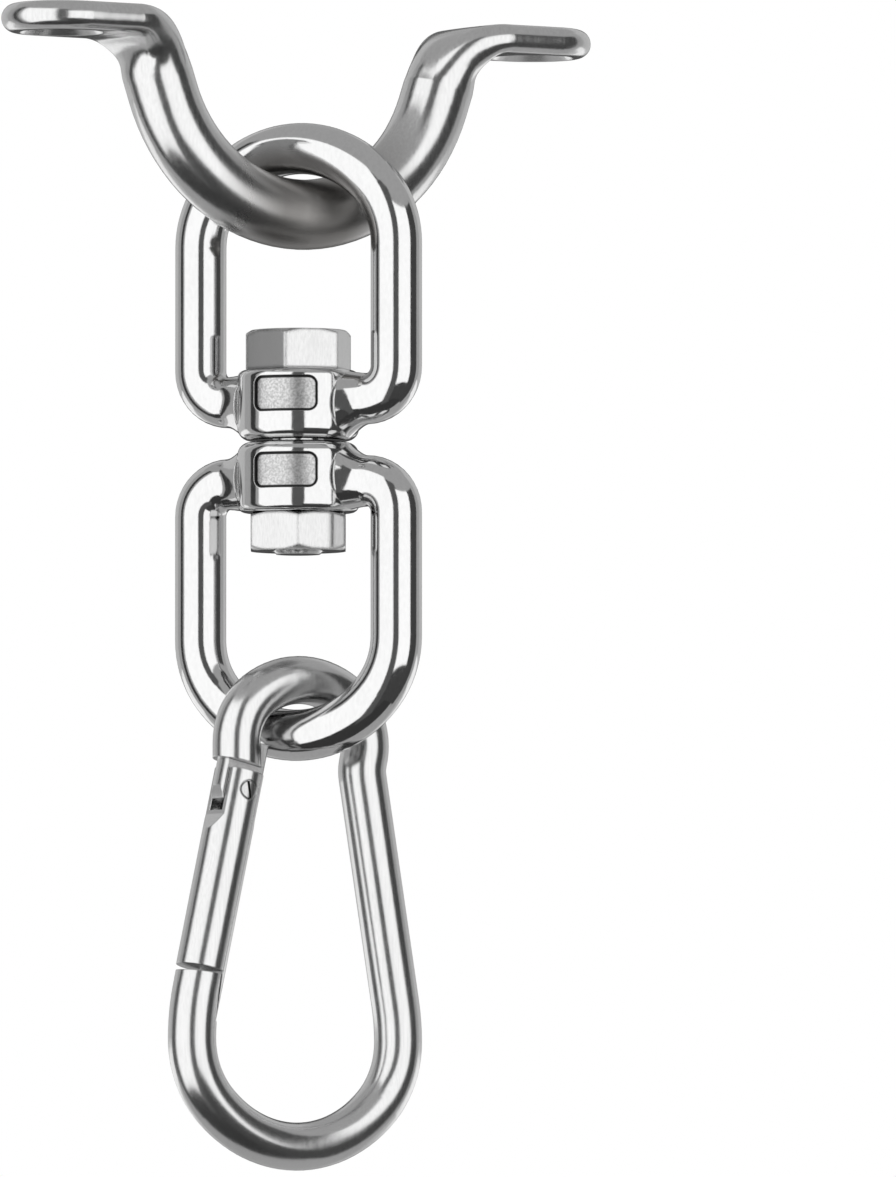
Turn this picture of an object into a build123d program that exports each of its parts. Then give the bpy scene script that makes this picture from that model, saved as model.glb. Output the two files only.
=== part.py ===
from build123d import *
import math
import os

# Hanging hook for a punching bag: a forged ceiling bracket, an eye-to-eye swivel
# and a snap hook with a sprung gate, hanging one from the other.
# Millimetres. The origin is on the ceiling face, midway between the two ear
# holes. Z is up, X runs from hole to hole, and everything hangs down along -Z.

# Ceiling bracket, forged from round bar
bar_dia = 11.0
bracket_drop = 31.0  # from the ceiling face down to the bar's centre at the lowest point
arch_radius = 27.0  # centreline of the rounded bottom
leg_lean = 19.5  # degrees that each leg leans outwards from upright
ear_bend_radius = 8.0  # centreline of the bend from the leg into the ear
press_run = 3.0  # length at the top of the leg that is pressed along with the bend
press_stations = 6  # sections between the round bar and the flat ear
ear_thickness = 4.5
ear_width = 18.5
hole_spacing = 89.0
hole_dia = 8.5
countersink_dia = 13.4
countersink_angle = 90.0

# The two cast eyes of the swivel, both made to one pattern
eye_rod_dia = 8.0
eye_half_width = 17.0  # swivel axis to the centreline of a leg
eye_height = 49.8  # hub face to the outside of the crown
crown_rise = 15.2  # height of the rounded crown's centreline
crown_side_radius = 13.5
eye_corner_radius = 5.0
bar_height = 6.3  # hub face to the centre of the cross bar
hub_dia = 19.0
hub_height = 11.0
hub_face_round = 2.0
hub_seat_round = 1.2
flare_start = 12.0  # swivel axis to where an arm starts to thicken towards the hub
flare_end = 8.6  # and to where it is nearly as tall as the hub
flare_hollow = 1.5  # power of the flare's curve, 1 for a straight cone
flare_stations = 4
flare_inset = 0.2  # between the top of the flare and the hub's own faces
mark_width = 10.0  # bare cartouche sunk in the front of each hub
mark_height = 5.4
mark_corner_radius = 1.3
mark_depth = 0.45
mark_turn = 12.0  # degrees about Z from the middle of the hub's front
upper_mark_rise = 7.0  # hub face to the middle of the cartouche
lower_mark_rise = 4.7
hub_gap = 0.25  # between the two hubs
swivel_turn = -60.0  # degrees about Z from the bracket's plane to the eyes' plane
crown_gap = 0.85  # bracket bar to the crown above it

# Swivel bolt and nut
bolt_dia = 8.0
bolt_running_clearance = 0.05  # radial, in both hubs
bolt_seat_gap = 0.05
hex_across_flats = 14.8
head_height = 6.2
nut_height = 6.0
nut_thread_clearance = 0.02
bolt_end_proud = 0.5
bolt_end_chamfer = 0.6
hex_chamfer_angle = 30.0
head_turn = 42.0  # degrees about Z
nut_turn = 55.5

# Snap hook body, bent from round rod
hook_rod_dia = 7.5
hook_length = 80.4  # outside top to outside bottom
hook_gap = 0.9  # lower eye's crown to the snap hook's rod
hook_offset = -0.5  # middle of the bottom bend from the swivel axis, along X
bend_half_width = 19.4  # centreline of the wide bottom bend
bend_rise = 16.6
bend_side_radius = 14.5
shoulder_bend_radius = 35.0  # slow bend between the bottom and each side
spine_lean = 10.0
gate_lean = 13.2
spine_length = 35.7
neck_radius = 6.0
neck_flare = 15.0
eye_side_radius = 9.2
nose_straight = 2.3
shoulder_offset = 0.8  # the rod's end stands this far out from the gate's line

# Gate, its pivot and its latch
gate_dia = 7.8
shoulder_gap = 1.3  # rod shoulder to the top of the gate
pivot_depth = 4.3  # rod shoulder down to the pivot
pivot_dia = 2.6
pivot_running_clearance = 0.05
pivot_fit_clearance = 0.02
rivet_groove = 0.25  # width and depth of the countersink left round each end of the pivot
tongue_thickness = 3.2
tongue_end_radius = 3.6
tongue_side_clearance = 0.15
tongue_end_clearance = 0.3
cheek_width = 5.8
cheek_flat_end = 4.5  # pivot to where the cheek starts to widen
cheek_runout = 2.5
gate_reach = 28.6  # pivot to the gate's end face
nose_gap_inside = 0.3
nose_gap_outside = 1.1
lip_length = 7.6
lip_root = 1.9
lip_tip = 0.9
lip_clearance = 0.2

# Plunger and spring inside the gate
plunger_dia = 3.3
plunger_running_clearance = 0.05
plunger_length = 3.0
plunger_stem_dia = 1.8
plunger_stem_length = 4.5
cam_distance = 2.4  # pivot to the flat on the end of the tongue
cam_tilt = 8.0
cam_clearance = 0.05
spring_wire = 0.5
spring_coils = 7.0
spring_length = 13.0
spring_clearance = 0.1

# Length of every cutting shape that has to pass right through a piece
through = 40.0


def in_upright_plane(shape):
    """A shape drawn in X and Y, stood up in the X-Z plane."""
    return Plane.XZ * shape


def crown_arc(half_width, rise, side_radius):
    """Radius and half angle of the middle arc of a three-centred arch."""
    offset = half_width - side_radius
    radius = (offset**2 + rise**2 - side_radius**2) / (2 * (rise - side_radius))
    return radius, math.degrees(math.asin(offset / (radius - side_radius)))


def turn_on(edge, radius, angle):
    """The next arc of a bent rod, tangent to the edge before it."""
    return JernArc(edge @ 1, edge % 1, radius, angle)


def run_on(edge, length):
    """The next straight of a bent rod, tangent to the edge before it."""
    return Line(edge @ 1, edge @ 1 + (edge % 1) * length)


def rod_along(edges, diameter):
    """A round rod bent along edges drawn in X and Y."""
    path = in_upright_plane(Wire(edges))
    return sweep(Plane(path @ 0, z_dir=path % 0) * Circle(diameter / 2), path=path)


def hexagon_prism(across_flats, height, chamfer_ends):
    """A hexagon along Z from 0, with its corners turned off at the named ends."""
    corner = across_flats / math.sqrt(3)
    face = across_flats / 2
    drop = (corner - face) * math.tan(math.radians(hex_chamfer_angle))
    low = [(face, 0), (corner, drop)] if "low" in chamfer_ends else [(corner, 0)]
    high = [(corner, height - drop), (face, height)] if "high" in chamfer_ends else [(corner, height)]
    outline = Polyline((0, 0), *low, *high, (0, height), close=True)
    turned = revolve(Plane.XZ * make_face(outline), Axis.Z)
    return extrude(RegularPolygon(corner, 6), height) & turned


def pressed_section(width, thickness, flatness):
    """Bar section from round, at flatness 0, to flat with full-round edges, at 1."""
    octant = 1 - math.sqrt(0.5)
    side = (1 - flatness) * width / 2 * octant + flatness * thickness / 2
    crown = (1 - flatness) * thickness / 2 * octant
    x, y = width / 2 - side, thickness / 2 - crown
    if crown > 0:
        top = ThreePointArc((x, y), (0, thickness / 2), (-x, y))
        bottom = ThreePointArc((-x, -y), (0, -thickness / 2), (x, -y))
    else:
        top = Line((x, y), (-x, y))
        bottom = Line((-x, -y), (x, -y))
    left = ThreePointArc((-x, y), (-width / 2, 0), (-x, -y))
    right = ThreePointArc((x, -y), (width / 2, 0), (x, y))
    return make_face(Wire([top, left, bottom, right]))


def ceiling_bracket():
    turn = 90 - leg_lean
    rise = bracket_drop - ear_thickness / 2
    bends = (arch_radius + ear_bend_radius) * (1 - math.sin(math.radians(leg_lean)))
    leg_length = (rise - bends) / math.cos(math.radians(leg_lean))

    arch = JernArc((0, -bracket_drop), (1, 0), arch_radius, turn)
    leg = run_on(arch, leg_length - press_run)
    pressed_leg = run_on(leg, press_run)
    bend = turn_on(pressed_leg, ear_bend_radius, -turn)

    # The bar is pressed flat and wide through the bend, starting and ending gently.
    pressed = in_upright_plane(Wire([pressed_leg, bend]))
    sections = []
    for station in range(press_stations + 1):
        along = station / press_stations
        share = along**2 * (3 - 2 * along)
        section = pressed_section(
            bar_dia + (ear_width - bar_dia) * share,
            bar_dia + (ear_thickness - bar_dia) * share,
            share,
        )
        place = Plane(pressed @ along, x_dir=(0, 1, 0), z_dir=pressed % along)
        sections.append(place * section)
    side = loft(sections)

    # The ear runs level to its hole and ends in a half round about it.
    ear_start = pressed @ 1
    hole_x = hole_spacing / 2
    ear_plane = Plane(ear_start, x_dir=(0, 1, 0), z_dir=(1, 0, 0))
    ear_section = ear_plane * pressed_section(ear_width, ear_thickness, 1)
    side += extrude(ear_section, hole_x - ear_start.X)
    flat = ear_width / 2 - ear_thickness / 2
    rim = Pos(flat, 0) * Circle(ear_thickness / 2) + Pos(flat / 2, 0) * Rectangle(flat, ear_thickness)
    rim &= Pos(ear_width / 2, 0) * Rectangle(ear_width, ear_width)
    half_end = revolve(Plane.XZ * rim, Axis.Z, 360)
    side += Pos(hole_x, 0, -ear_thickness / 2) * half_end

    hole = Pos(hole_x, 0, 0) * Cylinder(hole_dia / 2, through)
    sink_depth = (countersink_dia - hole_dia) / 2 / math.tan(math.radians(countersink_angle / 2))
    sink = Pos(hole_x, 0, -ear_thickness + sink_depth / 2) * Cone(
        countersink_dia / 2, hole_dia / 2, sink_depth
    )
    side = side - hole - sink

    side += rod_along([arch, leg], bar_dia)
    return side + mirror(side, Plane.YZ)


def swivel_eye(mark_rise, turn):
    """Cast eye with its hub face at Z 0, its crown up and its cartouche in front."""
    rod = eye_rod_dia / 2
    radius, half_angle = crown_arc(eye_half_width, crown_rise, crown_side_radius)
    spring_line = eye_height - rod - crown_rise
    cross_bar = Line((0, bar_height), (eye_half_width - eye_corner_radius, bar_height))
    corner = turn_on(cross_bar, eye_corner_radius, 90)
    leg = run_on(corner, spring_line - bar_height - eye_corner_radius)
    crown_side = turn_on(leg, crown_side_radius, 90 - half_angle)
    crown_top = turn_on(crown_side, radius, half_angle)
    half = rod_along([cross_bar, corner, leg, crown_side, crown_top], eye_rod_dia) + arm_flare()
    loop = half + mirror(half, Plane.YZ)

    hub = Pos(0, 0, hub_height / 2) * Cylinder(hub_dia / 2, hub_height)
    hub = fillet(hub.edges().sort_by(Axis.Z)[0], hub_face_round)
    hub = fillet(hub.edges().sort_by(Axis.Z)[-1], hub_seat_round)
    bore = Cylinder(bolt_dia / 2 + bolt_running_clearance, through)
    outline = Plane.XZ * RectangleRounded(mark_width, mark_height, mark_corner_radius)
    mark = Pos(0, 0, mark_rise) * extrude(outline, hub_dia)
    mark -= Cylinder(hub_dia / 2 - mark_depth, through)
    return loop + hub - bore - Rot(0, 0, turn) * mark


def arm_flare():
    """The arm on the right, thickened in a hollow curve until it is as tall as the hub."""
    sections = []
    for station in range(flare_stations + 1):
        along = station / flare_stations
        share = along**flare_hollow
        radius = eye_rod_dia / 2 + (hub_height / 2 - flare_inset - eye_rod_dia / 2) * share
        height = bar_height + (hub_height / 2 - bar_height) * share
        x = flare_start + (flare_end - flare_start) * along
        sections.append(Plane((x, 0, height), x_dir=(0, 1, 0), z_dir=(-1, 0, 0)) * Circle(radius))
    return loft(sections)


def swivel_bolt(shank_length):
    """Bolt with its head's seat at Z 0, its head up and its shank down."""
    head = hexagon_prism(hex_across_flats, head_height, ["high"])
    shank = Pos(0, 0, -shank_length / 2) * Cylinder(bolt_dia / 2, shank_length)
    shank = chamfer(shank.edges().sort_by(Axis.Z)[0], bolt_end_chamfer)
    return Rot(0, 0, head_turn) * head + shank


def swivel_nut():
    """Nut with its seat at Z 0, hanging down."""
    body = Rot(0, 0, nut_turn) * hexagon_prism(hex_across_flats, nut_height, ["low", "high"])
    bore = Cylinder(bolt_dia / 2 + nut_thread_clearance, through)
    return Pos(0, 0, -nut_height) * (body - bore)


# Heights of the pieces along the swivel axis, from the ceiling down
crown_top_z = -bracket_drop + bar_dia / 2 + crown_gap + eye_rod_dia
upper_face_z = crown_top_z - eye_height
lower_face_z = upper_face_z - hub_gap
lower_crown_z = lower_face_z - eye_height
head_seat_z = upper_face_z + hub_height + bolt_seat_gap
nut_seat_z = lower_face_z - hub_height - bolt_seat_gap
shank_length = head_seat_z - nut_seat_z + nut_height + bolt_end_proud
hook_top_z = lower_crown_z + eye_rod_dia + hook_gap + hook_rod_dia
hook_bottom_z = hook_top_z - hook_length

# The wide bottom bend of the snap hook, up to its nose on the left
low_radius, low_angle = crown_arc(bend_half_width, bend_rise, bend_side_radius)
bottom_point = (hook_offset, hook_bottom_z + hook_rod_dia / 2)
left_low = JernArc(bottom_point, (-1, 0), low_radius, -low_angle)
left_side = turn_on(left_low, bend_side_radius, low_angle - 90)
left_shoulder = turn_on(left_side, shoulder_bend_radius, -gate_lean)

# The gate's own plane: its origin is on the pivot, Z runs down the gate to the
# nose, and X points into the snap hook.
nose_gap = (nose_gap_inside + nose_gap_outside) / 2
up_gate = left_shoulder % 1
pivot = left_shoulder @ 1 + up_gate * (nose_straight + nose_gap + gate_reach)
gate_plane = Plane(
    (pivot.X, 0, pivot.Y),
    x_dir=(up_gate.Y, 0, -up_gate.X),
    z_dir=(-up_gate.X, 0, -up_gate.Y),
)
shoulder = pivot + up_gate * pivot_depth

# Where the gate's parts lie along the gate, from the pivot
gate_top = shoulder_gap - pivot_depth
slot_floor = tongue_end_radius + tongue_end_clearance
tip_radius = plunger_dia / 2
plunger_start = (cam_distance + tip_radius) / math.cos(math.radians(cam_tilt)) + cam_clearance
spring_start = plunger_start + plunger_length + spring_clearance
bore_end = spring_start + spring_length + spring_clearance


def hook_body():
    # Up the right side: spine, neck, and round the top eye to above the gate
    right_low = JernArc(bottom_point, (1, 0), low_radius, low_angle)
    right_side = turn_on(right_low, bend_side_radius, 90 - low_angle)
    right_shoulder = turn_on(right_side, shoulder_bend_radius, spine_lean)
    spine = run_on(right_shoulder, spine_length)
    neck = turn_on(spine, neck_radius, -spine_lean - neck_flare)
    eye_foot = turn_on(neck, eye_side_radius, neck_flare)
    wide = eye_foot @ 1
    left_x = shoulder.X - shoulder_offset
    eye_rise = hook_top_z - hook_rod_dia / 2 - wide.Y
    top_radius, top_angle = crown_arc((wide.X - left_x) / 2, eye_rise, eye_side_radius)
    eye_right = turn_on(eye_foot, eye_side_radius, 90 - top_angle)
    eye_top = turn_on(eye_right, top_radius, 2 * top_angle)
    eye_left = turn_on(eye_top, eye_side_radius, 90 - top_angle)
    rod_end = run_on(eye_left, wide.Y - shoulder.Y + hook_rod_dia)
    side_run = [right_low, right_side, right_shoulder, spine, neck]
    eye_run = [eye_foot, eye_right, eye_top, eye_left, rod_end]
    nose_end = run_on(left_shoulder, nose_straight + hook_rod_dia)
    nose_run = [left_low, left_side, left_shoulder, nose_end]
    body = rod_along(side_run + eye_run, hook_rod_dia) + rod_along(nose_run, hook_rod_dia)

    # The rod is cut away for the gate, square at the shoulder and aslant at the nose.
    space = Polyline(
        (-gate_dia, -pivot_depth),
        (gate_dia, -pivot_depth),
        (gate_dia, gate_reach + nose_gap_inside),
        (gate_dia / 2, gate_reach + nose_gap_inside),
        (-gate_dia / 2, gate_reach + nose_gap_outside),
        (-gate_dia, gate_reach + nose_gap_outside),
        close=True,
    )
    body -= across_gate(space, through)
    body -= across_gate(lip_outline(lip_clearance, gate_dia), through)

    # The tongue that the gate turns on is milled from the rod's end.
    reach = Polyline(
        (-gate_dia, -pivot_depth - hook_rod_dia / 2),
        (gate_dia, -pivot_depth - hook_rod_dia / 2),
        (gate_dia, 0),
        (-gate_dia, 0),
        close=True,
    )
    tongue = across_gate(reach, tongue_thickness)
    tongue += gate_plane * Rot(90, 0, 0) * Cylinder(tongue_end_radius, tongue_thickness)
    tongue &= gate_plane * Cylinder(hook_rod_dia / 2, through)
    beyond_cam = Pos(0, 0, cam_distance + through / 2) * Box(through, through, through)
    tongue -= gate_plane * Rot(0, -cam_tilt, 0) * beyond_cam
    pin_hole = Cylinder(pivot_dia / 2 + pivot_running_clearance, through)
    return body + tongue - gate_plane * Rot(90, 0, 0) * pin_hole


def across_gate(outline, width):
    """An outline of X and Z in the gate's plane, thickened evenly across it."""
    flat = Plane.XZ * make_face(outline)
    return gate_plane * extrude(flat, width / 2, both=True)


def lip_outline(clearance, outer):
    """The lip that the gate laps over the nose, with clearance on its inner side and end."""
    root = gate_dia / 2 - lip_root - clearance
    tip = gate_dia / 2 - lip_tip - clearance
    end = gate_reach + lip_length + clearance
    overlap = gate_reach - gate_dia / 2
    return Polyline(
        (root, overlap),
        (outer, overlap),
        (outer, end),
        (tip, end),
        (root, gate_reach),
        close=True,
    )


def gate():
    bar = Pos(0, 0, (gate_top + gate_reach) / 2) * Cylinder(gate_dia / 2, gate_reach - gate_top)
    lip_bar = Pos(0, 0, gate_reach + lip_length / 2) * Cylinder(gate_dia / 2, lip_length)
    lip = gate_plane * lip_bar & across_gate(lip_outline(0, gate_dia), through)
    body = gate_plane * bar + lip

    # Flats narrow the cheeks so that their corners clear the shoulder as they turn.
    above = gate_top - gate_dia
    for side in (-1, 1):
        flat = Polyline(
            (side * cheek_width / 2, above),
            (side * cheek_width / 2, cheek_flat_end),
            (side * gate_dia / 2, cheek_flat_end + cheek_runout),
            (side * gate_dia, cheek_flat_end + cheek_runout),
            (side * gate_dia, above),
            close=True,
        )
        body -= across_gate(flat, through)

    slot = Polyline(
        (-gate_dia, above),
        (gate_dia, above),
        (gate_dia, slot_floor),
        (-gate_dia, slot_floor),
        close=True,
    )
    body -= across_gate(slot, tongue_thickness + 2 * tongue_side_clearance)
    bore_radius = plunger_dia / 2 + plunger_running_clearance
    body -= gate_plane * Pos(0, 0, bore_end / 2) * Cylinder(bore_radius, bore_end)
    pin_hole = Cylinder(pivot_dia / 2 + pivot_fit_clearance, through)
    groove = gate_plane * Rot(90, 0, 0) * Cylinder(pivot_dia / 2 + rivet_groove, through)
    groove -= gate_plane * Cylinder(gate_dia / 2 - rivet_groove, through)
    return body - gate_plane * Rot(90, 0, 0) * pin_hole - groove


def gate_pivot_pin():
    """Pin with its ends dressed flush with the round of the gate."""
    pin = gate_plane * Rot(90, 0, 0) * Cylinder(pivot_dia / 2, through)
    return pin & gate_plane * Cylinder(gate_dia / 2, through)


def gate_plunger():
    body = Pos(0, 0, plunger_start + plunger_length / 2) * Cylinder(plunger_dia / 2, plunger_length)
    body += Pos(0, 0, plunger_start) * Sphere(tip_radius)
    stem = Cylinder(plunger_stem_dia / 2, plunger_stem_length)
    body += Pos(0, 0, plunger_start + plunger_length + plunger_stem_length / 2) * stem
    return gate_plane * body


def gate_spring():
    radius = plunger_dia / 2 - spring_wire / 2 - spring_clearance
    pitch = (spring_length - spring_wire) / spring_coils
    coil = Helix(pitch, spring_length - spring_wire, radius)
    wire = sweep(Plane(coil @ 0, z_dir=coil % 0) * Circle(spring_wire / 2), path=coil, is_frenet=True)
    return gate_plane * Pos(0, 0, spring_start + spring_wire / 2) * wire


os.makedirs("parts", exist_ok=True)
upper_eye = swivel_eye(upper_mark_rise, mark_turn)
lower_eye = Rot(0, 180, 0) * swivel_eye(lower_mark_rise, -mark_turn)
pieces = {
    "ceiling_bracket": ceiling_bracket(),
    "upper_eye": Rot(0, 0, swivel_turn) * Pos(0, 0, upper_face_z) * upper_eye,
    "lower_eye": Rot(0, 0, swivel_turn) * Pos(0, 0, lower_face_z) * lower_eye,
    "swivel_bolt": Pos(0, 0, head_seat_z) * swivel_bolt(shank_length),
    "swivel_nut": Pos(0, 0, nut_seat_z) * swivel_nut(),
    "hook_body": hook_body(),
    "gate": gate(),
    "gate_pivot_pin": gate_pivot_pin(),
    "gate_plunger": gate_plunger(),
    "gate_spring": gate_spring(),
}
for name, piece in pieces.items():
    export_step(piece, f"parts/{name}.step")
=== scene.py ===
import math
import bpy
import numpy as np
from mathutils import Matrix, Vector


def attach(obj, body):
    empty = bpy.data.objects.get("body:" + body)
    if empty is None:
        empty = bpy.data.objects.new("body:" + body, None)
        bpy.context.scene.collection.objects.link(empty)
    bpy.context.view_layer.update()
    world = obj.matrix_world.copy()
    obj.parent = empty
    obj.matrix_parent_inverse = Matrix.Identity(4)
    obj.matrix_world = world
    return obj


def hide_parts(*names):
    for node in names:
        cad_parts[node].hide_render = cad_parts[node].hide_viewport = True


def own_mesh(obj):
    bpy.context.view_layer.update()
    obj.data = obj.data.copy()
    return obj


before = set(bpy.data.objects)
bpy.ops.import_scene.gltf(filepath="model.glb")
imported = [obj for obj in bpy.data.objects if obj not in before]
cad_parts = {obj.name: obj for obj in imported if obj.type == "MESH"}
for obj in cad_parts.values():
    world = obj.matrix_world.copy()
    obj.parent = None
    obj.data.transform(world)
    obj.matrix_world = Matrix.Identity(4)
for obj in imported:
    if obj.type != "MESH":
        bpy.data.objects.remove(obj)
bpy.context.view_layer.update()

# A hanging hook in polished stainless steel, dressed over its CAD parts.
# Lengths are in metres and angles in degrees.
print("frame loaded:", len(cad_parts), "nodes")


# Colours

# sRGB hex to linear light: v / 12.92 near black, ((v + 0.055) / 1.055) ** 2.4 above
def linearFromHex(text):
    values = [int(text[i:i + 2], 16) / 255 for i in (1, 3, 5)]
    curve = [v / 12.92 if v <= 0.04045 else ((v + 0.055) / 1.055) ** 2.4 for v in values]
    return (*curve, 1.0)


# One node with its settings, and its inputs given as values or as sockets to link from
def addNode(tree, kind, settings=None, inputs=None):
    node = tree.nodes.new(kind)
    for name, value in (settings or {}).items():
        setattr(node, name, value)
    for name, value in (inputs or {}).items():
        if isinstance(value, bpy.types.NodeSocket):
            tree.links.new(value, node.inputs[name])
        else:
            node.inputs[name].default_value = value
    return node


def newMaterial(name):
    material = bpy.data.materials.new(name)
    material.use_nodes = True
    material.node_tree.nodes.clear()
    return material, material.node_tree


# Camera

cameraPlace = {
    "azimuth": -34.5,       # to the left of square on
    "elevation": -3.0,      # a little below, looking up
    "distance": 3.0,
    "frameHeight": 0.1839,  # what the picture's height covers at the hook
    "aside": 0.0234,        # picture's middle, to the right of the swivel axis
    "middle": -0.08955,     # picture's middle, above the ceiling face
    "sensorWidth": 0.036,
    "nearest": 0.1,
    "farthest": 50.0,
}


def direction(azimuth, elevation):
    a, e = math.radians(azimuth), math.radians(elevation)
    return Vector((math.sin(a) * math.cos(e), -math.cos(a) * math.cos(e), math.sin(e)))


def addCamera(place):
    data = bpy.data.cameras.new("camera")
    data.sensor_width = place["sensorWidth"] * 1000
    data.lens = data.sensor_width * place["distance"] / place["frameHeight"]
    data.clip_start, data.clip_end = place["nearest"], place["farthest"]
    camera = bpy.data.objects.new("camera", data)
    bpy.context.scene.collection.objects.link(camera)
    back = direction(place["azimuth"], place["elevation"])
    right = direction(place["azimuth"] + 90, 0)
    target = right * place["aside"] + Vector((0, 0, place["middle"]))
    camera.location = target + back * place["distance"]
    camera.rotation_euler = (-back).to_track_quat("-Z", "Y").to_euler()
    bpy.context.scene.camera = camera


addCamera(cameraPlace)
print("camera placed")


# Studio

studio = {
    "centre": (0.0, 0.0, -0.0895),  # the hook's middle, which the cards stand round
    "floor": -0.75,
    "floorHalf": 6.0,
    "background": "#ffffff",
    "floorColour": "#fdfdfd",
    "fill": 1.0,            # world light on the floor
    "cardStep": 8.0,        # degrees between a card's points, at most
}

# A card is a window of azimuth from the camera and of elevation, at a distance in metres, with
# the light it gives. The tent is the grey all round, the boxes and glows are the white streaks on
# the steel, and the flags are the dark ones beside them.
cards = {
    "tent": {"azimuth": (-180, 180), "elevation": (-90, 90), "distance": 0.66, "light": 0.46},
    "rearFlag": {"azimuth": (164, 196), "elevation": (-20, 26), "distance": 0.63, "light": 0.07},
    "rearRightBox": {"azimuth": (122, 168), "elevation": (-36, 44), "distance": 0.64, "light": 0.62},
    "rearLeftBox": {"azimuth": (192, 238), "elevation": (-36, 44), "distance": 0.64, "light": 0.62},
    "rearRightGlow": {"azimuth": (118, 162), "elevation": (-25, -8), "distance": 0.635, "light": 1.2},
    "rearLeftGlow": {"azimuth": (198, 242), "elevation": (-25, -8), "distance": 0.635, "light": 1.2},
    "lensFlag": {"azimuth": (-12, 15), "elevation": (-54, 44), "distance": 0.64, "light": 0.12},
    "rightFlag": {"azimuth": (10, 102), "elevation": (-50, 34), "distance": 0.63, "light": 0.07},
    "leftFlag": {"azimuth": (-102, -88), "elevation": (-54, 50), "distance": 0.63, "light": 0.05},
    "lowFlag": {"azimuth": (-100, 88), "elevation": (-88, -42), "distance": 0.65, "light": 0.05},
    "rightBox": {"azimuth": (12, 66), "elevation": (-21, 34), "distance": 0.60, "light": 1.45},
    "leftBox": {"azimuth": (-80, -12), "elevation": (-43, 48), "distance": 0.60, "light": 1.45},
}


def cardMaterial(name, light):
    material, tree = newMaterial(name)
    shine = addNode(tree, "ShaderNodeEmission", inputs={"Color": (1, 1, 1, 1), "Strength": light})
    addNode(tree, "ShaderNodeOutputMaterial", inputs={"Surface": shine.outputs[0]})
    return material


# A patch of a sphere: its distance times the direction of each azimuth and elevation on a grid
def addCard(name, card):
    left, right = card["azimuth"]
    low, high = card["elevation"]
    columns = int((right - left) / studio["cardStep"]) + 3
    rows = int((high - low) / studio["cardStep"]) + 3
    a, e = np.meshgrid(np.radians(np.linspace(left, right, columns) + cameraPlace["azimuth"]),
                       np.radians(np.linspace(low, high, rows)))
    points = np.stack([np.sin(a) * np.cos(e), -np.cos(a) * np.cos(e), np.sin(e)], axis=-1)
    points = points.reshape(-1, 3) * card["distance"] + np.array(studio["centre"])
    first = (np.arange(rows - 1)[:, None] * columns + np.arange(columns - 1)).ravel()
    faces = np.stack([first, first + columns, first + columns + 1, first + 1], axis=-1)
    mesh = bpy.data.meshes.new(name)
    mesh.from_pydata(points.tolist(), [], faces.tolist())
    mesh.materials.append(cardMaterial(name, card["light"]))
    patch = bpy.data.objects.new(name, mesh)
    bpy.context.scene.collection.objects.link(patch)
    patch.visible_camera = False
    patch.visible_shadow = False
    patch.visible_diffuse = False


def addFloor():
    mesh = bpy.data.meshes.new("floor")
    half = studio["floorHalf"]
    corners = [(-half, -half), (half, -half), (half, half), (-half, half)]
    mesh.from_pydata([(x, y, studio["floor"]) for x, y in corners], [], [(0, 1, 2, 3)])
    material, tree = newMaterial("paleFloor")
    surface = addNode(tree, "ShaderNodeBsdfDiffuse", inputs={
        "Color": linearFromHex(studio["floorColour"])})
    addNode(tree, "ShaderNodeOutputMaterial", inputs={"Surface": surface.outputs[0]})
    mesh.materials.append(material)
    floor = bpy.data.objects.new("floor", mesh)
    bpy.context.scene.collection.objects.link(floor)


def addWorld():
    world = bpy.data.worlds.new("studioWorld")
    bpy.context.scene.world = world
    world.use_nodes = True
    tree = world.node_tree
    tree.nodes.clear()
    path = addNode(tree, "ShaderNodeLightPath")
    either = addNode(tree, "ShaderNodeMath", {"operation": "MAXIMUM"},
                     {0: path.outputs["Is Camera Ray"], 1: path.outputs["Is Glossy Ray"]})
    seen = addNode(tree, "ShaderNodeMath", {"operation": "MAXIMUM"},
                   {0: either.outputs[0], 1: path.outputs["Is Transmission Ray"]})
    white = linearFromHex(studio["background"])
    fill = addNode(tree, "ShaderNodeBackground", inputs={"Color": white, "Strength": studio["fill"]})
    background = addNode(tree, "ShaderNodeBackground", inputs={"Color": white, "Strength": 1.0})
    mixed = addNode(tree, "ShaderNodeMixShader", inputs={
        0: seen.outputs[0], 1: fill.outputs[0], 2: background.outputs[0]})
    addNode(tree, "ShaderNodeOutputWorld", inputs={"Surface": mixed.outputs[0]})


addWorld()
addFloor()
for cardName, card in cards.items():
    addCard(cardName, card)
bpy.context.scene.view_settings.view_transform = "Standard"
print("studio lit")


# Steel

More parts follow.
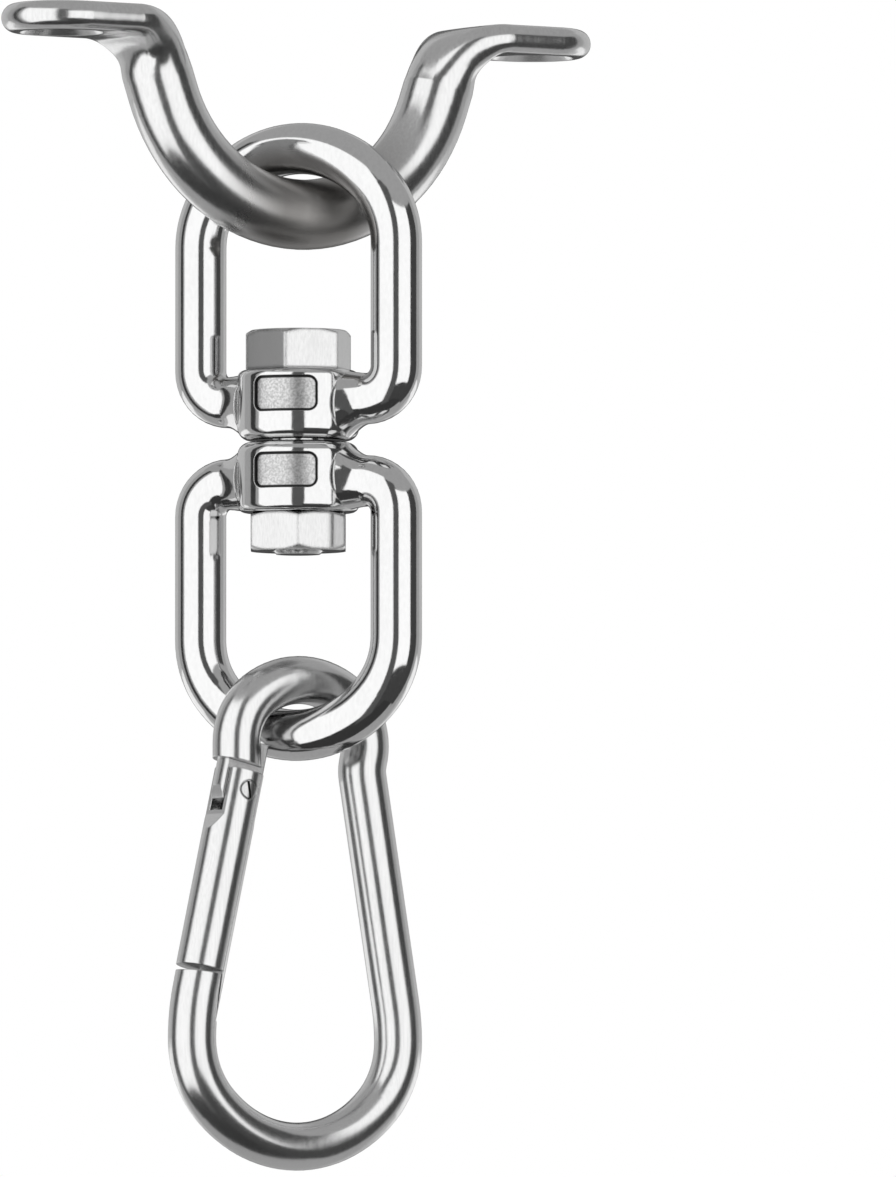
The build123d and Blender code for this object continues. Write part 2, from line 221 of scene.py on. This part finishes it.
# Each finish is a grey mirror. Its roughness and height come from two noises on the object's
# own coordinates: slow waves from hand polishing, and fine grain drawn out along the upright
# rods. Sizes and heights are in millimetres.
finishes = {
    # Forged bar, tumbled and then buffed: soft streaks that wander along the legs
    "forgedBuffedSteel": {"colour": "#d6d6d6", "shade": "#cccccc", "roughness": (0.15, 0.24),
                          "waveSize": 9.0, "waveHeight": 0.05, "grainSize": 0.35, "grainLength": 5.0,
                          "grainHeight": 0.0012, "edgeRound": 0.30},
    # Investment cast and mirror polished: sharp streaks with a faint orange peel
    "castMirrorSteel": {"colour": "#d6d6d6", "shade": "#d0d0d0", "roughness": (0.06, 0.12),
                        "waveSize": 6.0, "waveHeight": 0.012, "grainSize": 0.5, "grainLength": 2.0,
                        "grainHeight": 0.0008, "edgeRound": 0.35},
    # Cold formed hexagon, bright: flat clean faces with eased corners
    "coldFormedSteel": {"colour": "#cfcfcf", "shade": "#c5c5c5", "roughness": (0.08, 0.13),
                        "waveSize": 4.0, "waveHeight": 0.004, "grainSize": 0.25, "grainLength": 4.0,
                        "grainHeight": 0.0008, "edgeRound": 0.80},
    # Drawn rod, bent and softly polished: lines along the rod blur the streaks
    "drawnRodSteel": {"colour": "#d6d6d6", "shade": "#cccccc", "roughness": (0.17, 0.25),
                      "waveSize": 7.0, "waveHeight": 0.02, "grainSize": 0.20, "grainLength": 30.0,
                      "grainHeight": 0.0010, "edgeRound": 0.25},
    # Turned rivet with a painted dark reflection line across each end
    "turnedRivetSteel": {"colour": "#cccccc", "shade": "#b8b8b8", "roughness": (0.18, 0.28),
                         "waveSize": 3.0, "waveHeight": 0.002, "grainSize": 0.15, "grainLength": 1.0,
                         "grainHeight": 0.0010, "edgeRound": 0.12},
    # Hard drawn wire, greyer and duller than the rest
    "springWireSteel": {"colour": "#aaaaaa", "shade": "#909090", "roughness": (0.25, 0.35),
                        "waveSize": 2.0, "waveHeight": 0.0, "grainSize": 0.10, "grainLength": 1.0,
                        "grainHeight": 0.0008, "edgeRound": 0.05},
}


# How all the finishes read their noises
steelPattern = {
    "waveStretch": 2.0,         # waves drawn out along Z
    "waveShare": 0.4,
    "octaves": 3.0,
    "octaveShare": 0.5,
    "roughnessSpan": (0.3, 0.7),    # the noise that gives the lowest and the highest roughness
    "colourSpan": (0.35, 0.60),     # and the shade and the colour
    "bevelSamples": 6,
}


# Noise whose spots are size millimetres across and stretched length times along Z
def steelNoise(tree, size, length):
    place = addNode(tree, "ShaderNodeTexCoord")
    spots = addNode(tree, "ShaderNodeMapping", inputs={
        "Vector": place.outputs["Object"],
        "Scale": (1000 / size, 1000 / size, 1000 / (size * length))})
    return addNode(tree, "ShaderNodeTexNoise", inputs={
        "Vector": spots.outputs[0], "Scale": 1.0, "Detail": steelPattern["octaves"],
        "Roughness": steelPattern["octaveShare"]}).outputs["Fac"]


# Roughness and colour follow grain (1 - share) + waves share. The height is the waves' and then
# the grain's bump on the rounded normal, so that an edge catches a line of light as a worn one does.
def steel(name, look):
    material, tree = newMaterial(name)
    waves = steelNoise(tree, look["waveSize"], steelPattern["waveStretch"])
    grain = steelNoise(tree, look["grainSize"], look["grainLength"])
    tone = addNode(tree, "ShaderNodeMix", {"data_type": "FLOAT"}, {
        "Factor": steelPattern["waveShare"], "A": grain, "B": waves})
    low, high = steelPattern["roughnessSpan"]
    roughness = addNode(tree, "ShaderNodeMapRange", inputs={
        "Value": tone.outputs["Result"], "From Min": low, "From Max": high,
        "To Min": look["roughness"][0], "To Max": look["roughness"][1]})
    colour = addNode(tree, "ShaderNodeValToRGB", inputs={"Fac": tone.outputs["Result"]})
    tones = (look["shade"], look["colour"])
    for stop, where, hexColour in zip(colour.color_ramp.elements, steelPattern["colourSpan"], tones):
        stop.position, stop.color = where, linearFromHex(hexColour)
    rounded = addNode(tree, "ShaderNodeBevel", {"samples": steelPattern["bevelSamples"]}, {
        "Radius": look["edgeRound"] / 1000})
    slow = addNode(tree, "ShaderNodeBump", inputs={
        "Height": waves, "Strength": 1.0, "Distance": look["waveHeight"] / 1000,
        "Normal": rounded.outputs[0]})
    fine = addNode(tree, "ShaderNodeBump", inputs={
        "Height": grain, "Strength": 1.0, "Distance": look["grainHeight"] / 1000,
        "Normal": slow.outputs[0]})
    surface = addNode(tree, "ShaderNodeBsdfPrincipled", inputs={
        "Base Color": colour.outputs[0], "Metallic": 1.0,
        "Roughness": roughness.outputs[0], "Normal": fine.outputs[0]})
    addNode(tree, "ShaderNodeOutputMaterial", inputs={"Surface": surface.outputs[0]})
    return material, tree, surface


materials = {}
for finishName, look in finishes.items():
    materials[finishName] = steel(finishName, look)
print("steel mixed:", len(materials), "finishes")


# 1 where low < value < high, with soft ends
def between(tree, value, low, high, soft):
    rise = addNode(tree, "ShaderNodeMapRange", inputs={
        "Value": value, "From Min": low - soft, "From Max": low + soft, "To Min": 0.0, "To Max": 1.0})
    fall = addNode(tree, "ShaderNodeMapRange", inputs={
        "Value": value, "From Min": high - soft, "From Max": high + soft, "To Min": 1.0, "To Max": 0.0})
    return addNode(tree, "ShaderNodeMath", {"operation": "MULTIPLY"},
                   {0: rise.outputs[0], 1: fall.outputs[0]}).outputs[0]


# Swaps colour and roughness to the mask's own where the mask is 1
def maskSurface(parts, mask, colour, roughness):
    _, tree, surface = parts
    plain = {name: surface.inputs[name].links[0].from_socket for name in ("Base Color", "Roughness")}
    mixedColour = addNode(tree, "ShaderNodeMix", {"data_type": "RGBA"}, {
        "Factor": mask, 6: plain["Base Color"], 7: colour})     # 6 and 7 are its two colours
    mixedRoughness = addNode(tree, "ShaderNodeMix", {"data_type": "FLOAT"}, {
        "Factor": mask, "A": plain["Roughness"], "B": roughness})
    tree.links.new(mixedColour.outputs[2], surface.inputs["Base Color"])
    tree.links.new(mixedRoughness.outputs["Result"], surface.inputs["Roughness"])


# The sunk cartouche on the front of each hub, as cast and not polished, with painted shade in a dark
# line round its border, where the recess meets the hub
cartouche = {
    "radius": 0.00905,          # swivel axis to its floor
    "radiusOff": 0.0001,        # how far from that the floor still counts
    "faces": -138.0,            # from +X
    "ahead": (0.005, 0.020),    # how far it lies that way from the swivel axis
    "middle": -0.065425,        # between the two hubs
    "apart": 0.011950,          # from one cartouche's middle to the other's
    "halfWidth": 0.0050,
    "halfHeight": 0.0027,
    "corner": 0.0013,
    "outline": 0.00032,         # dark line inside its border
    "outlinePast": 0.00012,     # and outside
    "soft": 0.00005,
    "colour": "#cecece",
    "shade": "#a6a6a6",
    "toneSpan": (0.35, 0.65),
    "roughness": 0.34,
    "gritSize": 0.35,           # coarser than real blast grit, so that it shows
    # colour and roughness of the painted shade round the border
    "borderShade": "#3a3a3a",
    "borderShadeRoughness": 0.5,
}


# A cartouche is a rounded rectangle seen along the way it faces. With p = (|x|, |z|) from its
# middle, length(max(p - half + corner, 0)) reaches the corner's radius at its border.
def addCartouche(parts):
    tree = parts[1]
    turn, corner, soft = math.radians(cartouche["faces"]), cartouche["corner"], cartouche["soft"]
    place = addNode(tree, "ShaderNodeTexCoord").outputs["Object"]
    split = addNode(tree, "ShaderNodeSeparateXYZ", inputs={0: place})
    aside = addNode(tree, "ShaderNodeVectorMath", {"operation": "DOT_PRODUCT"}, {
        0: place, 1: (-math.sin(turn), math.cos(turn), 0)})
    ahead = addNode(tree, "ShaderNodeVectorMath", {"operation": "DOT_PRODUCT"}, {
        0: place, 1: (math.cos(turn), math.sin(turn), 0)})
    up = addNode(tree, "ShaderNodeMath", {"operation": "SUBTRACT"}, {
        0: split.outputs[2], 1: cartouche["middle"]})
    mirrored = addNode(tree, "ShaderNodeMath", {"operation": "ABSOLUTE"}, {0: up.outputs[0]})
    local = addNode(tree, "ShaderNodeMath", {"operation": "SUBTRACT"}, {
        0: mirrored.outputs[0], 1: cartouche["apart"] / 2})
    point = addNode(tree, "ShaderNodeCombineXYZ", inputs={
        0: aside.outputs["Value"], 1: local.outputs[0]})
    folded = addNode(tree, "ShaderNodeVectorMath", {"operation": "ABSOLUTE"}, {0: point.outputs[0]})
    past = addNode(tree, "ShaderNodeVectorMath", {"operation": "SUBTRACT"}, {
        0: folded.outputs[0],
        1: (cartouche["halfWidth"] - corner, cartouche["halfHeight"] - corner, 0)})
    outside = addNode(tree, "ShaderNodeVectorMath", {"operation": "MAXIMUM"}, {
        0: past.outputs[0], 1: (0, 0, 0)})
    reach = addNode(tree, "ShaderNodeVectorMath", {"operation": "LENGTH"}, {0: outside.outputs[0]})
    level = addNode(tree, "ShaderNodeCombineXYZ", inputs={0: split.outputs[0], 1: split.outputs[1]})
    radius = addNode(tree, "ShaderNodeVectorMath", {"operation": "LENGTH"}, {0: level.outputs[0]})
    front = between(tree, ahead.outputs["Value"], *cartouche["ahead"], soft)

    near = between(tree, radius.outputs["Value"], cartouche["radius"] - cartouche["radiusOff"],
                   cartouche["radius"] + cartouche["radiusOff"], soft)
    inside = between(tree, reach.outputs["Value"], -1.0, corner, soft)
    floor = addNode(tree, "ShaderNodeMath", {"operation": "MULTIPLY"}, {0: near, 1: inside})
    mask = addNode(tree, "ShaderNodeMath", {"operation": "MULTIPLY"}, {0: floor.outputs[0], 1: front})
    grit = steelNoise(tree, cartouche["gritSize"], 1.0)
    colour = addNode(tree, "ShaderNodeValToRGB", inputs={"Fac": grit})
    tones = (cartouche["shade"], cartouche["colour"])
    for stop, where, hexColour in zip(colour.color_ramp.elements, cartouche["toneSpan"], tones):
        stop.position, stop.color = where, linearFromHex(hexColour)
    maskSurface(parts, mask.outputs[0], colour.outputs[0], cartouche["roughness"])

    # Painted shade: a dark line round the recess's border
    line = between(tree, reach.outputs["Value"], corner - cartouche["outline"],
                   corner + cartouche["outlinePast"], soft)
    mask = addNode(tree, "ShaderNodeMath", {"operation": "MULTIPLY"}, {0: line, 1: front})
    maskSurface(parts, mask.outputs[0], linearFromHex(cartouche["borderShade"]),
                cartouche["borderShadeRoughness"])


# The middle of the bracket's bar, over the swivel's crown: painted shade, a darker colour with a duller
# roughness that mutes its streaks
archMiddleShade = {
    "halfWidth": 0.0125,
    "fade": 0.0065,
    # colour of the painted shade, and its duller roughness
    "colour": "#989694",
    "roughness": 0.36,
}


# 1 within the half width of the middle along X, fading to 0 beyond
def addArchMiddleShade(parts):
    tree = parts[1]
    place = addNode(tree, "ShaderNodeTexCoord")
    split = addNode(tree, "ShaderNodeSeparateXYZ", inputs={0: place.outputs["Object"]})
    half = archMiddleShade["halfWidth"]
    mask = between(tree, split.outputs[0], -half, half, archMiddleShade["fade"])
    maskSurface(parts, mask, linearFromHex(archMiddleShade["colour"]), archMiddleShade["roughness"])


# A painted reflection on the rivet: a dark line across its flush end, carrying on the dark streak down
# the gate
rivetReflectionLine = {
    "centre": (-0.0117594, 0.0, -0.121393),
    "turn": 8.0,            # degrees from upright
    "halfWidth": 0.00022,
    "soft": 0.00004,
    # colour and roughness of the painted dark reflection
    "colour": "#1d1d1c",
    "roughness": 0.5,
}


# The painted reflection line is where the distance from a line through the rivet's centre is under its
# half width:
# x cos(turn) + z sin(turn), taken from the centre
def addRivetReflectionLine(parts):
    tree = parts[1]
    place = addNode(tree, "ShaderNodeTexCoord")
    turn = math.radians(rivetReflectionLine["turn"])
    across = (math.cos(turn), 0.0, math.sin(turn))
    offset = sum(a * c for a, c in zip(across, rivetReflectionLine["centre"]))
    distance = addNode(tree, "ShaderNodeVectorMath", {"operation": "DOT_PRODUCT"},
                       {0: place.outputs["Object"], 1: across})
    width = rivetReflectionLine["halfWidth"]
    mask = between(tree, distance.outputs["Value"], offset - width, offset + width, rivetReflectionLine["soft"])
    maskSurface(parts, mask, linearFromHex(rivetReflectionLine["colour"]), rivetReflectionLine["roughness"])


addArchMiddleShade(materials["forgedBuffedSteel"])
addCartouche(materials["castMirrorSteel"])
addRivetReflectionLine(materials["turnedRivetSteel"])
print("cartouches, painted arch shade and painted rivet line drawn")

nodeFinishes = {
    "ceiling_bracket": "forgedBuffedSteel",
    "upper_eye": "castMirrorSteel",
    "lower_eye": "castMirrorSteel",
    "swivel_bolt": "coldFormedSteel",
    "swivel_nut": "coldFormedSteel",
    "hook_body": "drawnRodSteel",
    "gate": "drawnRodSteel",
    "gate_pivot_pin": "turnedRivetSteel",
    "gate_plunger": "turnedRivetSteel",
    "gate_spring": "springWireSteel",
}
for nodeName, finishName in nodeFinishes.items():
    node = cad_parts[nodeName]
    node.data.materials.clear()
    node.data.materials.append(materials[finishName][0])
print("steel applied to", len(nodeFinishes), "nodes")


# The gate's coil spring, drawn again and carried by the gate
gateSpring = {
    "pivot": (-0.0117594, 0.0, -0.121393),
    "along": (-0.228351, 0.0, -0.973579),   # down the gate from its pivot
    "start": 0.0072398,     # pivot to its first coil
    "length": 0.0130,
    "radius": 0.0013,       # to the middle of the wire
    "wire": 0.0005,
    "coils": 7.0,
    "pressed": 0.0008,      # how much shorter it is at the plunger's full travel
    "stepsPerCoil": 32,
    "sides": 12,            # of the wire
}


# The wire's middle is p(t) = (r cos t, r sin t, pitch t / 2 pi), with n = (cos t, sin t, 0) and
# b = n x tangent across it, and its surface is p + (n cos u + b sin u) wire / 2.
def addSpring(spring):
    around, steps = spring["sides"], int(spring["coils"] * spring["stepsPerCoil"]) + 1
    t = np.linspace(0, 2 * np.pi * spring["coils"], steps)[:, None]
    u = np.linspace(0, 2 * np.pi, around, endpoint=False)[None, :, None]
    rise = (spring["length"] - spring["wire"]) / (2 * np.pi * spring["coils"])
    flat = np.zeros_like(t)
    radial = np.hstack([np.cos(t), np.sin(t), flat])
    middle = spring["radius"] * radial + np.hstack([flat, flat, rise * t + spring["wire"] / 2])
    tangent = np.hstack([-spring["radius"] * np.sin(t), spring["radius"] * np.cos(t), flat + rise])
    tangent /= np.linalg.norm(tangent, axis=1, keepdims=True)
    across = np.cross(radial, tangent)
    circle = radial[:, None] * np.cos(u) + across[:, None] * np.sin(u)
    wall = middle[:, None] + circle * spring["wire"] / 2
    down = np.array(spring["along"])
    inward = np.array([-down[2], 0.0, down[0]])
    points = wall.reshape(-1, 3) @ np.array([inward, np.cross(down, inward), down])
    points += np.array(spring["pivot"]) + down * spring["start"]
    ring, turn = np.arange(steps - 1)[:, None] * around, np.arange(around)
    after = (turn + 1) % around
    faces = np.stack([ring + turn, ring + around + turn, ring + around + after, ring + after], -1)
    last = (steps - 1) * around
    caps = [list(range(around)), list(range(last + around - 1, last - 1, -1))]
    mesh = bpy.data.meshes.new("gateSpringWire")
    mesh.from_pydata(points.tolist(), [], faces.reshape(-1, 4).tolist() + caps)
    mesh.materials.append(materials["springWireSteel"][0])
    mesh.shade_smooth()
    coil = bpy.data.objects.new("gateSpringWire", mesh)
    bpy.context.scene.collection.objects.link(coil)
    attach(coil, "gate")
    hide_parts("gate_spring")
    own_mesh(coil)


addSpring(gateSpring)
print("spring wound")
